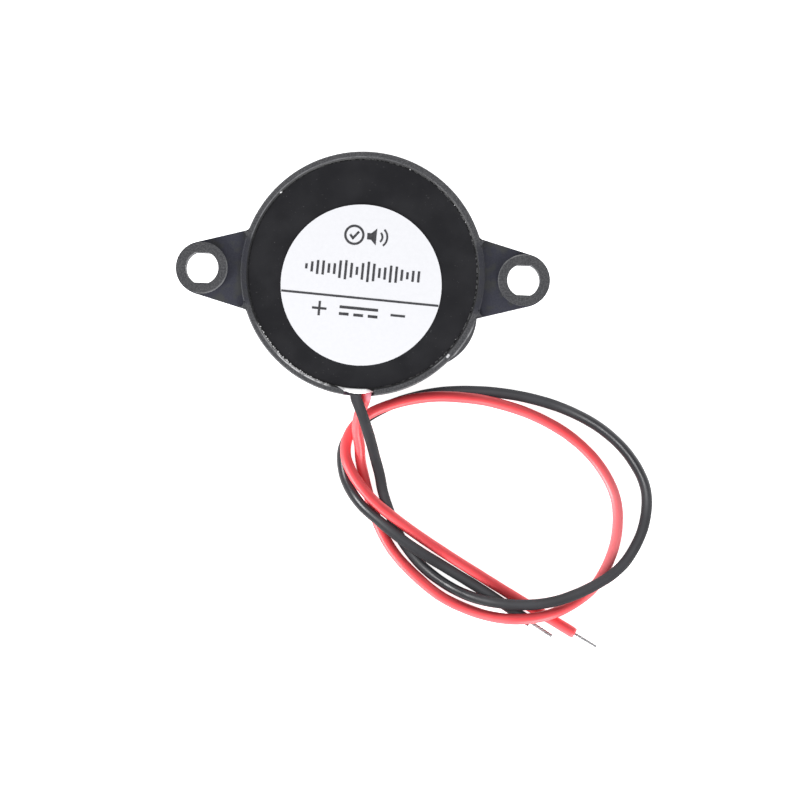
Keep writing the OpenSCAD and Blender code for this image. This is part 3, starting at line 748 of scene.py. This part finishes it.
def strands_tree(material):
    """Strands that wind about Z, joined by a skin."""
    tree, size, output = new_tree("tinned_strands", [
        ("Strands", 6), ("Strand thickness", 0.17), ("Twist radius", 0.15),
        ("Length", TINNED_LENGTH + TIP_OVERLAP), ("Turns", 1.2)])
    helix = add(tree, "GeometryNodeCurveSpiral", {
        "Resolution": 24, "Rotations": size["Turns"], "Start Radius": size["Twist radius"],
        "End Radius": size["Twist radius"], "Height": size["Length"]})
    thin = times(tree, size["Strand thickness"], 0.5)
    profile = add(tree, "GeometryNodeCurvePrimitiveCircle", {"Resolution": 10, "Radius": thin})
    strand = add(tree, "GeometryNodeCurveToMesh", {
        "Curve": helix, "Profile Curve": profile, "Fill Caps": True})
    spots = add(tree, "GeometryNodePoints", {"Count": size["Strands"]})
    share = maths(tree, "DIVIDE", add(tree, "GeometryNodeInputIndex"), size["Strands"])
    angles = vector(tree, Z=times(tree, share, 2 * math.pi))
    around = add(tree, "GeometryNodeInstanceOnPoints", {
        "Points": spots, "Instance": strand, "Rotation": angles})
    skin = add(tree, "GeometryNodeMeshCylinder", {
        "Vertices": 20, "Side Segments": 1, "Radius": size["Twist radius"], "Depth": size["Length"]})
    half = vector(tree, Z=times(tree, size["Length"], 0.5))
    lifted = add(tree, "GeometryNodeTransform", {"Geometry": skin, "Translation": half})
    joined = add(tree, "GeometryNodeJoinGeometry")
    for part in (around, lifted):
        set_inputs(tree, joined, {0: part})
    return finish_tree(tree, output, joined, material)


def tinned_end(name, path, values):
    """Strands moved in their own vertices, from +Z to the lead's end, and sagging a little."""
    piece = grown_mesh(name, strands, values)
    along = (path[-1] - path[-2]).normalized()
    dip = Vector((0, 0, -TIP_SAG / TINNED_LENGTH))
    turn = (along + dip).normalized().to_track_quat("Z", "Y").to_matrix().to_4x4()
    start = (path[-1] - along * TIP_OVERLAP) * MM
    piece.data.transform(Matrix.Translation(start) @ turn @ Matrix.Scale(MM, 4))
    piece.data.shade_smooth()
    return piece


strands = strands_tree(tin_finish)
thin_end = {"Strands": 5, "Strand thickness": 0.13, "Twist radius": 0.11}
red_tip = tinned_end("red_tinned_end", red_path, thin_end)
black_tip = tinned_end("black_tinned_end", black_path, {})
print(len(red_tip.data.polygons), "and", len(black_tip.data.polygons), "faces on the tinned ends")

# %% [markdown]
# Each piece stands for a plain solid of the CAD model.

def declare_lead(colour, insulation, tip):
    """Insulation and tinned end stand for the CAD model's solids of that colour."""
    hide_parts(colour + "_lead")
    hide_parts(colour + "_lead_tip")
    for piece in (insulation, tip):
        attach(piece, ROOT)


declare_lead("red", red_insulation, red_tip)
declare_lead("black", black_insulation, black_tip)

# %% [markdown]
# Three rows of print stand on the label, and a line under the second row parts them. The marks are general
# ones, and each is a thin closed plate that sinks a little into the paper, because a flat face in the paper's
# own plane would flicker. They are drawn in the label's own plane, in millimetres.

# %% The label's plane
LABEL_TURN = -3.4
INK_THICKNESS = 0.018
INK_SUNK = 0.006
label_low, label_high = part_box("label")
label_middle = (label_low + label_high) / 2
label_place = (Matrix.Translation((label_middle.x, label_middle.y, label_top * MM))
               @ Matrix.Rotation(math.radians(LABEL_TURN), 4, "Z") @ Matrix.Scale(MM, 4))
print(f"label's middle {label_middle.x / MM:.2f}, {label_middle.y / MM:.2f} mm")

# %% [markdown]
# A mark is a plate with an outline, or a pen stroke along points. The stroke's mitred corners keep its width
# round a bend.

# %% Plates and strokes of ink
MITRE_LIMIT = 0.3


def add_plate(mesh, outline, low=-INK_SUNK, high=INK_THICKNESS):
    """A closed plate between two heights, with this outline."""
    join_rings(mesh, [[mesh.verts.new((u, v, z)) for u, v in outline] for z in (low, high)])


def add_stroke(mesh, points, width, closed=False):
    """A pen stroke along points, as a band of ink."""
    places = [Vector(p) for p in points]
    first, last = (places[-1], places[0]) if closed else (
        2 * places[0] - places[1], 2 * places[-1] - places[-2])
    rings = []
    for before, place, after in zip([first, *places], places, [*places[1:], last]):
        into, out = (place - before).normalized(), (after - place).normalized()
        normal = Vector((-(into + out).y, (into + out).x)).normalized()
        reach = normal * width / 2 / max(normal.dot(Vector((-into.y, into.x))), MITRE_LIMIT)
        right, left = place - reach, place + reach
        rings.append([mesh.verts.new((p.x, p.y, z)) for p, z in (
            (right, -INK_SUNK), (right, INK_THICKNESS), (left, INK_THICKNESS), (left, -INK_SUNK))])
    join_rings(mesh, rings, closed)


def add_bar(mesh, middle, height, half, width):
    """A level stroke, half its length on each side of its middle."""
    add_stroke(mesh, [(middle - half, height), (middle + half, height)], width)


def arc(middle, radius, start, end, count):
    """Points along an arc, from one angle in degrees to another."""
    angles = [math.radians(start + (end - start) * i / count) for i in range(count + 1)]
    return [(middle[0] + radius * math.cos(a), middle[1] + radius * math.sin(a)) for a in angles]


# %% [markdown]
# The upper row holds a tick in a ring and a loudspeaker with two sound arcs. The lower row holds a plus, the
# direct-current sign, which is a bar over three dashes, and a minus. The dividing line runs right across.

# %% Draw the marks and lay them on the label
INK_LINE = 0.28
DIVIDER_HALF = 9.8
DIVIDER_WIDTH = 0.26
SOUND_ARC_WIDTH = 0.24
CURRENT_WIDTH = 0.34
UPPER_ROW, WAVE_ROW, DIVIDER, LOWER_ROW = 6.12, 1.7, -1.64, -3.36


def draw_marks(mesh):
    tick_at, speaker_at = -1.45, 1.25
    ring_r = 1.12
    add_stroke(mesh, arc((tick_at, UPPER_ROW), ring_r, 0, 360, 48)[:-1], INK_LINE, closed=True)
    tick = [(-0.52, 0.02), (-0.14, -0.42), (0.55, 0.45)]
    add_stroke(mesh, [(tick_at + u, UPPER_ROW + v) for u, v in tick], INK_LINE)
    cone = [(-1.1, -0.4), (-0.6, -0.4), (0.05, -1.05), (0.05, 1.05), (-0.6, 0.4), (-1.1, 0.4)]
    add_plate(mesh, [(speaker_at + u, UPPER_ROW + v) for u, v in cone])
    for radius in (0.75, 1.35):
        add_stroke(mesh, arc((speaker_at + 0.05, UPPER_ROW), radius, -48, 48, 14), SOUND_ARC_WIDTH)
    add_bar(mesh, 0, DIVIDER, DIVIDER_HALF, DIVIDER_WIDTH)
    sign_at, sign_half, thin = 4.9, 0.9, INK_LINE / 2
    arm = [(thin, thin), (thin, sign_half), (-thin, sign_half)]
    plus = []
    for _ in range(4):
        plus += arm
        arm = [(-v, u) for u, v in arm]
    add_plate(mesh, [(u - sign_at, v + LOWER_ROW) for u, v in plus])
    add_bar(mesh, sign_at, LOWER_ROW, sign_half, INK_LINE)
    bar_half, dash_half, bar_rise = 2.4, 0.6, 0.42
    add_bar(mesh, 0, LOWER_ROW + bar_rise, bar_half, CURRENT_WIDTH)
    for middle in (dash_half - bar_half, 0, bar_half - dash_half):
        add_bar(mesh, middle, LOWER_ROW - bar_rise, dash_half, CURRENT_WIDTH)


ink_mesh = bmesh.new()
draw_marks(ink_mesh)
label_marks = finished_piece("label_marks", ink_mesh, label_ink, label_place)
print(len(label_marks.data.polygons), "faces in the label's marks")

# %% [markdown]
# The middle row is a sound wave: upright bars at one pitch, whose heights swell and fall. That is work for
# Geometry Nodes: a line of points, one box on each, and its height from the point's number.

# %% The sound wave's bars
def wave_tree(material):
    """A row of bars, centred on the origin, as high as a beating wave says."""
    tree, size, output = new_tree("sound_wave", [
        ("Bars", 21), ("Pitch", 0.7), ("Bar width", 0.3), ("Tallest", 2.55), ("Shortest", 0.45),
        ("Thickness", INK_THICKNESS + INK_SUNK)])
    last = minus(tree, size["Bars"], 1.0)
    start = vector(tree, X=times(tree, last, size["Pitch"], -0.5), Z=(INK_THICKNESS - INK_SUNK) / 2)
    step = vector(tree, X=size["Pitch"])
    row = add(tree, "GeometryNodeMeshLine", {
        "Count": size["Bars"], "Start Location": start, "Offset": step})
    along = maths(tree, "DIVIDE", add(tree, "GeometryNodeInputIndex"), last)
    swell = maths(tree, "SINE", times(tree, along, math.pi))
    beat = maths(tree, "ABSOLUTE", maths(tree, "SINE", times(tree, along, 4.5 * math.pi)))
    share = times(tree, span(tree, swell, 0, 1, 0.45, 1), span(tree, beat, 0, 1, 0.2, 1))
    room = minus(tree, size["Tallest"], size["Shortest"])
    height = maths(tree, "ADD", size["Shortest"], times(tree, share, room))
    box_size = vector(tree, X=size["Bar width"], Y=height, Z=size["Thickness"])
    box = add(tree, "GeometryNodeMeshCube", {"Size": (1, 1, 1)})
    bars = add(tree, "GeometryNodeInstanceOnPoints", {
        "Points": row, "Instance": box, "Scale": box_size})
    return finish_tree(tree, output, bars, material)


wave_bars = grown_mesh("sound_wave_bars", wave_tree(label_ink))
wave_bars.data.transform(label_place @ Matrix.Translation((0, WAVE_ROW, 0)))
print(len(wave_bars.data.polygons) // 6, "bars")

# %% [markdown]
# Sealant and glue were put on by hand: a white crescent bulges out of the notch over the leads, beads of
# whitish glue lie further round, and there are a few specks. The crescent is a low dome swept along the rim,
# and a table of angles gives its inner and outer radius.

# %% The crescent of sealant over the notch
CRESCENT = [(-97.2, 14.33, 14.64), (-96.3, 14.33, 14.7), (-94, 14.3, 14.83), (-91.4, 14.27, 14.89),
            (-88.1, 14.27, 14.88), (-86, 14.31, 14.82), (-84.1, 14.43, 14.72), (-83, 14.55, 14.62)]
ACROSS = [1, 0.97, 0.9, 0.8, 0.5, 0, -0.5, -0.8, -0.9, -0.97, -1]
FLATNESS = 10
CRESCENT_FOOT = 9.62
CRESCENT_TOP = 9.95


def radii_at(angle):
    """The inner and outer radius at an angle, read off the table."""
    for (a, *low), (b, *high) in zip(CRESCENT, CRESCENT[1:]):
        if angle <= b:
            share = (angle - a) / (b - a)
            return [p + (q - p) * share for p, q in zip(low, high)]
    return CRESCENT[-1][1:]


def crescent_piece(name, count=60):
    mesh = bmesh.new()
    rings = []
    for i in range(count + 1):
        angle = CRESCENT[0][0] + (CRESCENT[-1][0] - CRESCENT[0][0]) * i / count
        inner, outer = radii_at(angle)
        outer += 0.015 * math.sin(2.3 * angle)
        middle, half = (inner + outer) / 2, (outer - inner) / 2
        rise = (CRESCENT_TOP - CRESCENT_FOOT) * min(1, 0.6 + 1.6 * half)
        turn = math.radians(angle)
        outwards = Vector((math.cos(turn), math.sin(turn), 0))
        section = [(middle + half * u, CRESCENT_FOOT + rise * (1 - 0.5 * u ** FLATNESS)) for u in ACROSS]
        section += [(inner, CRESCENT_FOOT), (outer, CRESCENT_FOOT)]
        rings.append([mesh.verts.new((outwards * r + Vector((0, 0, z))) * MM) for r, z in section])
    join_rings(mesh, rings)
    return finished_piece(name, mesh, white_sealant)


sealant_crescent = crescent_piece("sealant_crescent")
print(len(sealant_crescent.data.polygons), "faces in the crescent")

# %% [markdown]
# The moulding gate was cut off beside the right ear and left a low swelling: the lens between the body's wall
# and a smaller circle, a little below the rim.

# %% The stub of the moulding gate
GATE_ANGLE = -31.5
GATE_FACE_R = 6.5
GATE_PROUD = 0.52
GATE_FOOT, GATE_TOP = 6.85, 9.8
GATE_SUNK = 0.15


def gate_stub_piece(name, count=28):
    """The stub starts inside the wall, so that no gap shows."""
    centre = body_r + GATE_PROUD - GATE_FACE_R
    seat = body_r - GATE_SUNK
    reach = math.acos((centre ** 2 + GATE_FACE_R ** 2 - seat ** 2) / (2 * centre * GATE_FACE_R))
    turns = [(math.pi - reach) * (2 * k / count - 1) for k in range(count + 1)]
    face = [(centre + GATE_FACE_R * math.cos(a), GATE_FACE_R * math.sin(a)) for a in turns]
    widest = math.atan2(face[-1][1], face[-1][0])
    back = [widest * (1 - 2 * k / count) for k in range(1, count)]
    outline = face + [(seat * math.cos(a), seat * math.sin(a)) for a in back]
    mesh = bmesh.new()
    add_plate(mesh, outline, GATE_FOOT, GATE_TOP)
    turn = Matrix.Rotation(math.radians(GATE_ANGLE), 4, "Z")
    return finished_piece(name, mesh, moulded, Matrix.Scale(MM, 4) @ turn)


gate_stub = gate_stub_piece("gate_stub")
print(len(gate_stub.data.polygons), "faces on the gate's stub")

# %% [markdown]
# Geometry Nodes scatter the beads: points on an arc, a random nudge for each, and a flattened ball with a
# random size. The seed is fixed, so each run gives the same beads.

# %% The beads of glue
def beads_tree(material):
    """Flattened beads along an arc round the origin, with random sizes and places."""
    tree, size, output = new_tree("glue_beads", [
        ("Beads", 40), ("Rim radius", 14.36), ("First angle", -152.0), ("Sweep", 47.0), ("Bead size", 0.09),
        ("Nudge", 0.06), ("Height", 9.86), ("Seed", 5)])
    arc_curve = add(tree, "GeometryNodeCurveArc", {
        "Resolution": 90, "Radius": size["Rim radius"],
        "Start Angle": maths(tree, "RADIANS", size["First angle"]),
        "Sweep Angle": maths(tree, "RADIANS", size["Sweep"])})
    points = add(tree, "GeometryNodeCurveToPoints", {"Curve": arc_curve, "Count": size["Beads"]})
    most = vector(tree, X=size["Nudge"], Y=size["Nudge"])
    least = add(tree, "ShaderNodeVectorMath", {0: most, "Scale": -1.0}, operation="SCALE")
    nudge = add(tree, "FunctionNodeRandomValue", {
        "Min": least, "Max": most, "Seed": size["Seed"]}, data_type="FLOAT_VECTOR")
    lift = vector(tree, Z=size["Height"])
    shift = add(tree, "ShaderNodeVectorMath", {0: nudge, 1: lift}, operation="ADD")
    placed = add(tree, "GeometryNodeSetPosition", {"Geometry": points, "Offset": shift})
    ball = add(tree, "GeometryNodeMeshIcoSphere", {"Radius": size["Bead size"], "Subdivisions": 2})
    narrow = add(tree, "FunctionNodeRandomValue", {
        "Min": (0.5, 0.5, 0.45), "Max": (1.5, 1.5, 0.75), "Seed": size["Seed"]}, data_type="FLOAT_VECTOR")
    beads = add(tree, "GeometryNodeInstanceOnPoints", {
        "Points": placed, "Instance": ball, "Scale": narrow})
    return finish_tree(tree, output, beads, material)


glue_beads = grown_mesh("glue_beads", beads_tree(white_glue))
glue_beads.data.transform(Matrix.Scale(MM, 4))
glue_beads.data.shade_smooth()
print(len(glue_beads.data.polygons), "faces in the beads")

# %% [markdown]
# The specks are few, so each has its own radius and angle round the axis, size and height. All that has been
# added to the body rides on it.

# %% A few specks of glue
SPECKS = [(14.38, 137.2, 0.14, 9.88), (14.22, 67.8, 0.06, 9.8), (14.25, 39, 0.06, 9.8),
          (14.3, 29, 0.06, 9.82), (14.1, -33, 0.04, 9.8), (14.42, 96, 0.05, 9.86)]

speck_mesh = bmesh.new()
for speck_r, speck_angle, speck_size, speck_z in SPECKS:
    turn = Matrix.Rotation(math.radians(speck_angle), 4, "Z")
    flat = Matrix.Diagonal((speck_size, 1.4 * speck_size, 0.6 * speck_size, 1))
    place = Matrix.Scale(MM, 4) @ turn @ Matrix.Translation((speck_r, 0, speck_z)) @ flat
    bmesh.ops.create_icosphere(speck_mesh, subdivisions=2, radius=1, matrix=place)
glue_specks = finished_piece("glue_specks", speck_mesh, white_glue)
glue_specks.data.shade_smooth()

for piece, slot_name in ((label_marks, "label"), (wave_bars, "label"), (sealant_crescent, "sealant"),
                         (glue_beads, "glue"), (glue_specks, "glue"), (gate_stub, "housing")):
    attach(piece, ROOT)
print(len(SPECKS), "specks")

# %% [markdown]
# The photograph is a product picture on white, with next to no shadow. A wide pale floor that glows a little
# and a bright world do most of that.

# %% The floor
FLOOR_HALF = 2000
FLOOR_Z = -0.02
FLOOR_GLOW = 0.9
floor_data = bpy.data.meshes.new("floor")
floor_data.from_pydata([(x * FLOOR_HALF * MM, y * FLOOR_HALF * MM, FLOOR_Z * MM)
                        for x, y in ((-1, -1), (1, -1), (1, 1), (-1, 1))], [], [(0, 1, 2, 3)])
floor = new_object("floor", floor_data)
floor_finish = grained_finish("white_floor", (0.93, 0.93, 0.93), (0.95, 0.95, 0.95), 40, (0.8, 0.9),
                              specular=0.1)
set_shader(floor_finish, {"Emission Color": (1, 1, 1, 1), "Emission Strength": FLOOR_GLOW})
floor_data.materials.append(floor_finish)

# %% [markdown]
# Two soft lamps stand low on the leads' side, where they put pale streaks on the red lead and none on the flat
# cover. The photograph's black lead has a thin streak along its top, so the low lamps leave it out, by light
# linking, and a third lamp overhead shines on it alone. The world is darker overhead than at the horizon,
# because the cover mirrors what is straight above it and must stay dark.

# %% Lamps and world
AIM = (5, -15, 0)


def soft_lamp(name, place, size, power, black_lead):
    """A square lamp. It lights the black lead alone (INCLUDE) or all but that lead (EXCLUDE)."""
    light = bpy.data.lights.new(name, "AREA")
    light.shape = "SQUARE"
    light.size = size * MM
    light.energy = power
    lamp = new_object(name, light)
    lamp.location = Vector(place) * MM
    aim = Vector(AIM) * MM - lamp.location
    lamp.rotation_euler = aim.to_track_quat("-Z", "Y").to_euler()
    group = bpy.data.collections.new(name + "_group")
    group.objects.link(black_insulation)
    group.collection_objects[0].light_linking.link_state = black_lead
    lamp.light_linking.receiver_collection = group


soft_lamp("left_lamp", (-430, -330, 170), 220, 4, "EXCLUDE")
soft_lamp("front_lamp", (200, -500, 190), 220, 2.7, "EXCLUDE")
soft_lamp("overhead_lamp", (-70, 40, 560), 300, 5, "INCLUDE")

ZENITH = (0.3, 0.3, 0.31)
HORIZON = (1.25, 1.25, 1.25)
world = bpy.data.worlds.new("white_room")
world.use_nodes = True
sky = world.node_tree
upwards = axes(sky, add(sky, "ShaderNodeTexCoord").outputs["Generated"])[2]
glow = mixed(sky, span(sky, upwards, 0.35, 0.95), HORIZON, ZENITH)
set_inputs(sky, sky.nodes["Background"], {"Color": glow})
bpy.context.scene.world = world
bpy.context.scene.view_settings.view_transform = "Standard"
print("three lamps and a world that darkens overhead")
